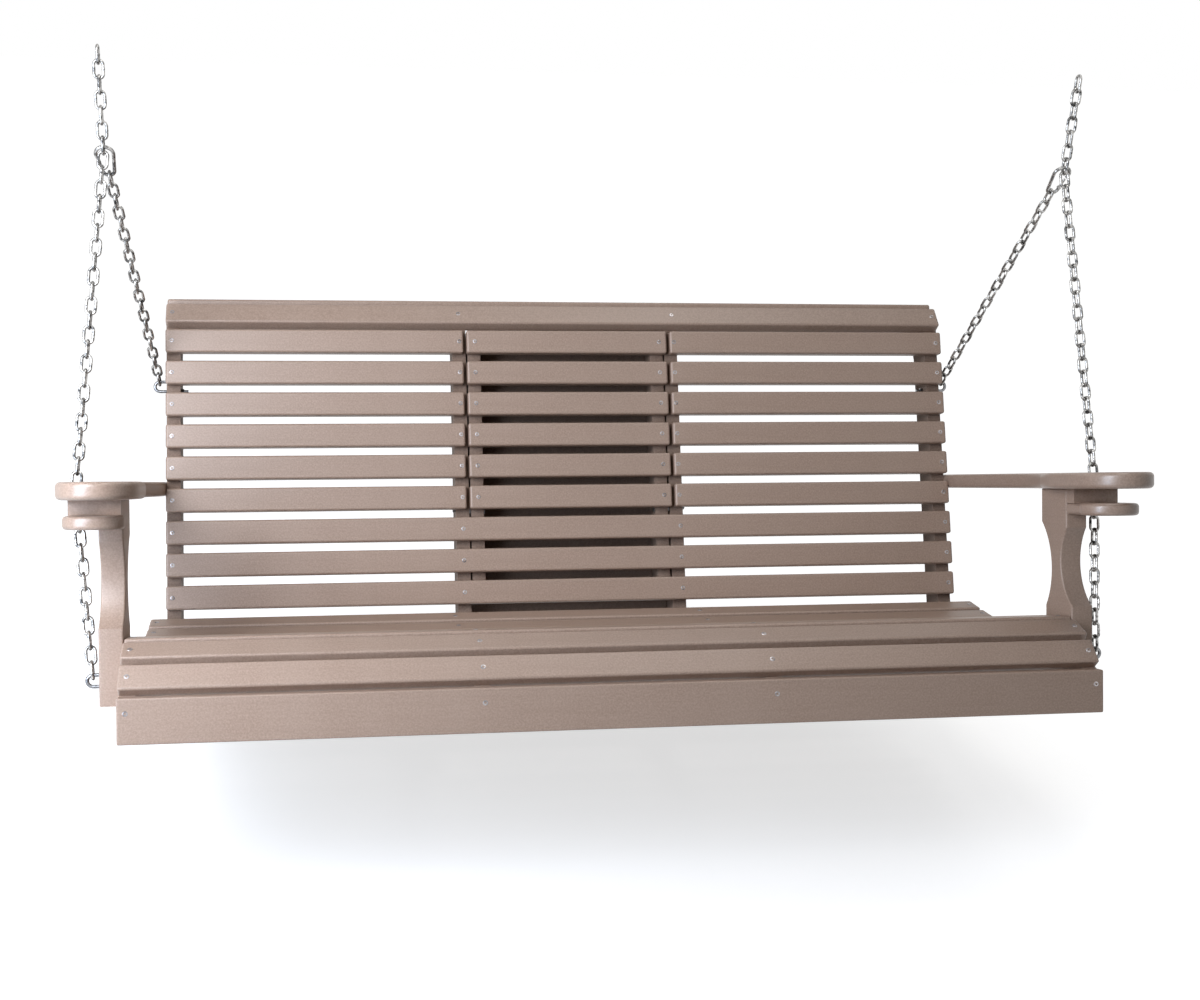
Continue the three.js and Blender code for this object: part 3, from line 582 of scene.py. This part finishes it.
for side, word in SIDES:
    holes = [circle(side * CHAIN_HOLE[0], CHAIN_HOLE[1], CHAIN_HOLE_RADIUS, 32),
             circle(side * CUP_HOLE[0], CUP_HOLE[1], CUP_HOLE_RADIUS, 64)]
    mesh = plate_mesh(f"armrest_{word}", arm_outline(side), ARM_TOP - ARM_THICK, ARM_TOP,
                      ARM_ROUND, holes, HOLE_ROUND, steps=6)
    rest = add(f"armrest_{word}", mesh, SEAT, DEEP, "swing", [f"arm_{word}"])
    # the inner side faces behind the pad get a darker, duller copy of the lumber as painted shade
    rest.data.materials.append(INNER_FACE_PAINTED_SHADE)
    for polygon in rest.data.polygons:
        if polygon.normal.x * side < PAINTED_SHADE_FACING and polygon.center.y > PAINTED_SHADE_FROM:
            polygon.material_index = 1

# ---------------------------------------------------------------- cup rests
# seat point (x, y) of the disc, which hangs by a block under the arm
REST_X, REST_Y, REST_RADIUS = 0.821, 0.040, 0.046
REST_THICK, REST_ROUND, REST_STEPS = 0.0205, 0.006, 48
HANGER_HEIGHT, HANGER_OUT, HANGER_FRONT, HANGER_ROUND = 0.024, 0.8675, 0.0923, 0.0008
HANGER_SUNK = 0.001
ARM_UNDERSIDE = ARM_TOP - ARM_THICK - GAP
DISC_TOP = ARM_UNDERSIDE - HANGER_HEIGHT
REST_REAR = HEAD_FRONT - GAP


def rest_outline(side):
    """The disc with the tongue that runs back under the block to the post."""
    stop = math.pi - math.acos((REST_X - POST_IN) / REST_RADIUS)
    points = [around(REST_X, REST_Y, REST_RADIUS, -i * (2 * math.pi - stop) / REST_STEPS)
              for i in range(REST_STEPS + 1)]
    points += [(POST_IN, REST_REAR), (REST_X + REST_RADIUS, REST_REAR)]
    return [(side * x, y) for x, y in points]


for side, word in SIDES:
    mesh = plate_mesh(f"rest_disc_{word}", rest_outline(side), DISC_TOP - REST_THICK, DISC_TOP,
                      REST_ROUND, steps=5)
    add(f"rest_disc_{word}", mesh, SEAT, DEEP, "swing", [f"cup_rest_{word}"])
    block = [(side * x, y) for x, y in ((POST_IN, HANGER_FRONT), (HANGER_OUT, HANGER_FRONT),
                                        (HANGER_OUT, REST_REAR), (POST_IN, REST_REAR))]
    mesh = plate_mesh(f"rest_block_{word}", block, DISC_TOP - HANGER_SUNK, ARM_UNDERSIDE,
                      HANGER_ROUND, steps=2)
    add(f"rest_block_{word}", mesh, SEAT, BOARD, "swing")

# ---------------------------------------------------------------- chains
# pitch, wire and outer width of a link, how far two links bite, and the weld's swelling
LINK, WIRE, LINK_WIDE, BITE, WELD = 0.0233, 0.0048, 0.0192, 0.0005, 1.12
TOP_LINKS, FRONT_LINKS, REAR_LINKS = 6, 36, 21
# seat X of the hanging points, the play where a chain hangs in its top link, and the height
# of the junction
SPAN = 0.817
HANG = 3 * GAP + BITE
KNEE = HANG / 2 - TOP_LINKS * LINK
# seat directions (y, z) in which the U-bolts are pulled
FRONT_PULL = (BULGE_Y - FRONT_BOLT[0], ARM_TOP - FRONT_BOLT[1])
REAR_PULL = (-0.400, 0.345)


def chain_end(side, bolt, apex, pull):
    """Where the last link bears on a U-bolt's bow."""
    reach = (BOLT_ROD + BITE / 2 + 2 * GAP) / math.hypot(*pull)
    return seat_point(side * (apex - BOLT_HALF), bolt[0] - pull[0] * reach,
                      bolt[1] + BOLT_HALF - pull[1] * reach)


def link_mesh():
    """One welded link along X, 0 at its middle, with the weld's low swelling on one side."""
    crown = (LINK_WIDE - WIRE) / 2
    straight = (LINK - BITE + WIRE) / 2 - crown
    points = [(straight - 2 * straight * i / 8, crown) for i in range(9)]
    points += [around(-straight, 0, crown, QUARTER + math.pi * i / 12) for i in range(1, 12)]
    points += [(-straight + 2 * straight * i / 4, -crown) for i in range(5)]
    points += [around(straight, 0, crown, -QUARTER + math.pi * i / 12) for i in range(1, 12)]
    radii = [WIRE / 2] * len(points)
    radii[4] *= WELD
    bm = bmesh.new()
    tube(bm, [Vector((x, y, 0)) for x, y in points], radii, 10, Z_AXIS, closed=True)
    return mesh_of(bm, "link")


LINK_MESH = link_mesh()


def link_matrix(a, b, wide):
    """Places a link from a to b, with its width as near to wide as that allows."""
    along = (b - a).normalized()
    through = along.cross(wide).normalized()
    return frame_of(along, through.cross(along), through, (a + b) / 2)


def route_points(route, count):
    """Points that part a route of straight stretches into equal lengths."""
    lengths = [(b - a).length for a, b in zip(route, route[1:])]
    total = sum(lengths)
    points = []
    for i in range(count + 1):
        reach = total * i / count
        k = 0
        while k < len(lengths) - 1 and reach > lengths[k] + 1e-9:
            reach -= lengths[k]
            k += 1
        points.append(route[k].lerp(route[k + 1], reach / lengths[k]))
    return points


def links(name, mesh_name, matrices, body, node):
    mesh = copies(mesh_name, LINK_MESH, matrices, 70)
    add(name, mesh, Matrix.Identity(4), ZINC_PAINTED_HIGHLIGHTS, body, [node])


def chain(name, route, count, first_across, node):
    """Links along a route, with the width of every second one across the seat."""
    points = route_points(route, count)
    matrices = []
    for i, (a, b) in enumerate(zip(points, points[1:])):
        wide = X_AXIS if i % 2 == first_across else (b - a).cross(X_AXIS)
        matrices.append(link_matrix(a, b, wide))
    links(name, name, matrices, "swing", node)


# ---------------------------------------------------------------- snap hooks
SNAP_REACH, SNAP_ROD, SNAP_CROWN, SNAP_TOE = 0.050, 0.003, 0.014, 0.0095
# where it bears in the junction's link: behind the chain's line and over the wire
SNAP_BEHIND, SNAP_LIFT = 0.001, 7 * GAP
# middles of the hook's two bends along its length
SNAP_TOP, SNAP_FOOT = SNAP_CROWN - SNAP_ROD, SNAP_REACH - (SNAP_TOE - SNAP_ROD)
GATE_TIP = Vector((SNAP_TOP + 0.0095, SNAP_CROWN - 0.0026, 0))
GATE_HINGE = Vector((SNAP_FOOT - 0.0035, SNAP_TOE, 0))
# share of the way along the gate's bar and place along its pin, each with the radius there
GATE_BAR = ((0, 0.0014), (0.04, 0.0021), (0.1, 0.0024), (0.5, 0.0024), (1, 0.0024))
GATE_PIN = ((-0.003, 0.0026), (-0.0026, 0.003), (0.0026, 0.003), (0.003, 0.0026))


def snap_hook(word, hook):
    """The hook's open body and its hinged gate, in the hook's frame."""
    points = [around(SNAP_TOP, 0, SNAP_CROWN, math.radians(a)) for a in range(62, 271, 8)]
    points += [around(SNAP_FOOT, 0, SNAP_TOE, math.radians(a)) for a in range(270, 451, 9)]
    bm = bmesh.new()
    tube(bm, [Vector((x, y, 0)) for x, y in points], [SNAP_ROD] * len(points), 14, Z_AXIS)
    add(f"snap_body_{word}", smooth(mesh_of(bm, "snap"), 60), hook, ZINC_PAINTED_HIGHLIGHTS, "swing",
        [f"snap_hook_{word}"])
    bm = bmesh.new()
    tube(bm, [GATE_TIP.lerp(GATE_HINGE, t) for t, _ in GATE_BAR], [r for _, r in GATE_BAR], 12,
         Z_AXIS)
    tube(bm, [GATE_HINGE + Z_AXIS * t for t, _ in GATE_PIN], [r for _, r in GATE_PIN], 16, X_AXIS)
    add(f"snap_tongue_{word}", smooth(mesh_of(bm, "tongue"), 50), hook, ZINC_PAINTED_HIGHLIGHTS, f"gate_{word}",
        [f"snap_gate_{word}"])


for side, word in SIDES:
    # on the line of the hanging point: top link, first link, junction
    lift = Vector((side * SPAN, 0, LINK - HANG / 2))
    crown = Vector((side * SPAN, 0, -HANG / 2))
    hang = Vector((side * SPAN, 0, HANG / 2))
    knee = Vector((side * SPAN, 0, KNEE))
    hole = seat_point(side * CHAIN_HOLE[0], CHAIN_HOLE[1], ARM_TOP - ARM_THICK / 2)
    front_end = chain_end(side, FRONT_BOLT, FRONT_APEX, FRONT_PULL)
    rear_end = chain_end(side, REAR_BOLT, REAR_APEX, REAR_PULL)
    links(f"hanger_link_{word}", "hanger", [link_matrix(crown, lift, Y_AXIS)], "hangers",
          f"top_link_{word}")
    chain(f"chain_main_{word}", [hang, knee, hole, front_end], TOP_LINKS + FRONT_LINKS, False,
          f"main_chain_{word}")

    # the hook bears in the junction's link and points down the rear chain
    start = Vector((side * SPAN, SNAP_BEHIND, KNEE + WIRE + SNAP_LIFT))
    along = (rear_end - start).normalized()
    normal = (along.cross(X_AXIS) * side).normalized()
    hook = frame_of(along, normal.cross(along), normal, start)
    snap_hook(word, hook)
    first = hook @ Vector((SNAP_REACH - BITE / 2 - 2 * GAP, 0, 0))
    chain(f"chain_rear_{word}", [first, rear_end], REAR_LINKS, True, f"rear_chain_{word}")

# ---------------------------------------------------------------- U-bolts
NUT_RADIUS, NUT_THICK, NUT_BEVEL = 0.0055, 0.005, 0.0004
# rod past the nut, thread into the board, its steps and a groove's share of the radius
TAIL, THREAD, THREAD_STEPS, THREAD_DIP = 0.008, 0.012, 26, 0.93
BOARD_THICK = 0.0254


def u_bolt(name, bolt, apex, inner_face, side, node):
    """A U-bolt through a board, from its bow outside to the nuts on the inner face."""
    y, z = bolt
    tail = inner_face - GAP - NUT_THICK - TAIL

    def leg(sign):
        """Middles and radii from the tail to the bow, with the thread as fine grooves."""
        run = [(Vector((tail + (inner_face + THREAD - tail) * i / THREAD_STEPS, y,
                        z + sign * BOLT_HALF)), BOLT_ROD * (THREAD_DIP if i % 2 else 1.0))
               for i in range(THREAD_STEPS + 1)]
        return run + [(Vector((apex - BOLT_HALF, y, z + sign * BOLT_HALF)), BOLT_ROD)]

    turns = [around(apex - BOLT_HALF, z, BOLT_HALF, QUARTER - math.pi * i / 16)
             for i in range(1, 16)]
    run = leg(1) + [(Vector((x, y, up)), BOLT_ROD) for x, up in turns] + leg(-1)[::-1]
    bm = bmesh.new()
    tube(bm, [p for p, _ in run], [r for _, r in run], 12, Y_AXIS)
    for sign in (-1, 1):
        nut = bmesh.ops.create_cone(bm, cap_ends=True, segments=6, radius1=NUT_RADIUS,
                                    radius2=NUT_RADIUS, depth=NUT_THICK)
        edges = list(dict.fromkeys(e for v in nut["verts"] for e in v.link_edges))
        made = bmesh.ops.bevel(bm, geom=edges, offset=NUT_BEVEL, segments=2, affect="EDGES")
        verts = [v for f in made["faces"] for v in f.verts]
        verts += [v for v in nut["verts"] if v.is_valid]
        middle = Vector((inner_face - GAP - NUT_THICK / 2, y, z + sign * BOLT_HALF))
        turn = Matrix.Translation(middle) @ Matrix.Rotation(QUARTER, 4, "Y")
        bmesh.ops.transform(bm, matrix=turn, verts=list(dict.fromkeys(verts)))
    if side < 0:
        bmesh.ops.scale(bm, vec=(-1, 1, 1), verts=bm.verts)
    add(name, smooth(mesh_of(bm, name), 40), SEAT, STEEL, "swing", [node])


for side, word in SIDES:
    u_bolt(f"bolt_front_{word}", FRONT_BOLT, FRONT_APEX, SEAT_HALF - BOARD_THICK, side,
           f"post_u_bolt_{word}")
    u_bolt(f"bolt_rear_{word}", REAR_BOLT, REAR_APEX, HALF - BOARD_THICK, side,
           f"back_u_bolt_{word}")

# ---------------------------------------------------------------- screws
# seat X of the rows of screws, and their height on the apron
END_X, INNER_X, CONSOLE_X = 0.7500, 0.2110, 0.1810
SEAT_END_X, SEAT_INNER_X, APRON_SCREW = 0.7743, 0.2332, 0.0122
# radius, height over the board and depth of the lobes of each ring, from the rim inwards
SCREW_RINGS = ((0.0042, -0.0006, 0), (0.0042, 0.0001, 0), (0.0039, 0.0005, 0),
               (0.003, 0.0007, 0), (0.0018, 0.0007, 0.00028), (0.0017, -0.0004, 0.00028))
SCREW_POINTS, SCREW_TURN = 24, 0.7


def screw_mesh():
    """Head of a stainless deck screw with a six-lobed recess, Z out of the board."""
    bm = bmesh.new()
    rings = []
    for radius, height, lobes in SCREW_RINGS:
        ring = []
        for i in range(SCREW_POINTS):
            a = 2 * math.pi * i / SCREW_POINTS
            x, y = around(0, 0, radius + lobes * math.cos(6 * a), a)
            ring.append(bm.verts.new((x, y, height)))
        rings.append(ring)
    for outer, inner in zip(rings, rings[1:]):
        skin(bm, outer, inner)
    bm.faces.new(rings[-1])
    bm.faces.new(rings[0][::-1])
    return mesh_of(bm, "screw")


SCREW = screw_mesh()


def screws(name, places, body):
    """All screw heads of a body, each turned a little further than the one before."""
    matrices = [at @ Matrix.Translation((x, y, 0)) @ Matrix.Rotation(SCREW_TURN * k, 4, "Z")
                for k, (at, x, y) in enumerate(places)]
    add(name, copies(name, SCREW, matrices, 35), Matrix.Identity(4), SCREWS, body)


def pairs(places, columns, height=0):
    """Places on both sides of each board, at the columns' seat X."""
    return [(at, side * x, height) for at in places for side in (-1, 1) for x in columns]


back_places = [back_place(row) for row in range(1, ROWS + 1)]
screws("board_screws",
       pairs(back_places + [CAP, CREST], (END_X, INNER_X))
       + pairs(seat_places, (SEAT_END_X, SEAT_INNER_X))
       + pairs([APRON], (SEAT_END_X, SEAT_INNER_X), APRON_SCREW), "swing")
screws("console_screws", pairs(back_places[:CONSOLE_ROWS], (CONSOLE_X,)), "console")

# ---------------------------------------------------------------- floor, light and background
FLOOR, FLOOR_SIZE, FLOOR_GREY = -1.30, 60, 0.55
# glow of the floor right under the seat, how far the seat dims it as a painted shadow, and light
# from all around
GLOW, GLOW_REACH, FILL = 0.64, 0.95, 0.06
WHITE = (1, 1, 1, 1)


def seen_rays(new, link):
    """1 where the camera, a reflection or a clear body looks, else 0."""
    path = new("ShaderNodeLightPath")
    value = path.outputs["Is Camera Ray"]
    for name in ("Is Glossy Ray", "Is Transmission Ray"):
        either = new("ShaderNodeMath")
        either.operation = "MAXIMUM"
        link(value, either.inputs[0])
        link(path.outputs[name], either.inputs[1])
        value = either.outputs[0]
    return value


bpy.ops.mesh.primitive_plane_add(size=FLOOR_SIZE, location=(0, 0, FLOOR))
floor = bpy.context.object
floor.name = "floor"
n = Nodes("floor")
n.shader.inputs["Base Color"].default_value = (FLOOR_GREY, FLOOR_GREY, FLOOR_GREY, 1)
n.shader.inputs["Roughness"].default_value = 1.0
n.shader.inputs["Specular IOR Level"].default_value = 0.0
# the floor glows white up to its horizon, and less where the seat hangs close over it: a painted
# shadow
near = n.new("ShaderNodeAmbientOcclusion", samples=16)
near.inputs["Distance"].default_value = GLOW_REACH
glow_with_painted_shadow = n.spread(near.outputs["AO"], 0.5, 1.0, GLOW, 1.0)
strength = n.new("ShaderNodeMath", operation="MULTIPLY")
n.link(seen_rays(n.new, n.link), strength.inputs[0])
n.link(glow_with_painted_shadow, strength.inputs[1])
glow = n.new("ShaderNodeEmission")
n.link(strength.outputs[0], glow.inputs["Strength"])
both = n.new("ShaderNodeAddShader")
n.link(n.shader.outputs["BSDF"], both.inputs[0])
n.link(glow.outputs["Emission"], both.inputs[1])
n.link(both.outputs["Shader"], n.tree.nodes["Material Output"].inputs["Surface"])
floor.data.materials.append(n.material)

world = bpy.data.worlds.new("studio")
scene.world = world
world.use_nodes = True
tree = world.node_tree
background = tree.nodes["Background"]
background.inputs["Color"].default_value = WHITE
background.inputs["Strength"].default_value = FILL
white = tree.nodes.new("ShaderNodeBackground")
white.inputs["Color"].default_value = WHITE
white.inputs["Strength"].default_value = 1.0
mixer = tree.nodes.new("ShaderNodeMixShader")
tree.links.new(seen_rays(tree.nodes.new, tree.links.new), mixer.inputs[0])
tree.links.new(background.outputs[0], mixer.inputs[1])
tree.links.new(white.outputs[0], mixer.inputs[2])
tree.links.new(mixer.outputs[0], tree.nodes["World Output"].inputs["Surface"])


def lamp(name, location, target, size, watts, tint):
    """A rectangular lamp that faces its target."""
    light = bpy.data.lights.new(name, "AREA")
    light.shape, light.size, light.size_y, light.energy = "RECTANGLE", size[0], size[1], watts
    light.color = tint
    holder = bpy.data.objects.new(name, light)
    scene.collection.objects.link(holder)
    holder.location = location
    direction = Vector(target) - Vector(location)
    holder.rotation_mode = "QUATERNION"
    holder.rotation_quaternion = direction.to_track_quat("-Z", "Y")


lamp("key", (-1.35, -1.1, 0.4), (-0.25, 0.1, -0.5), (0.8, 0.8), 25, (0.94, 0.985, 1.07))
lamp("sheen", (-1.2, -1.9, 1.0), (-0.5, 0.1, -0.5), (0.9, 1.2), 9.5, (0.92, 0.98, 1.08))
lamp("side", (-1.65, -1.15, -0.3), (-0.4, 0, -0.65), (0.8, 1.0), 23, (0.83, 0.98, 1.2))
lamp("over", (0.75, 0.0, 2.2), (0.55, 0.0, -1.0), (0.9, 0.5), 14, (1.02, 1.0, 0.97))

scene.view_settings.view_transform = "Standard"
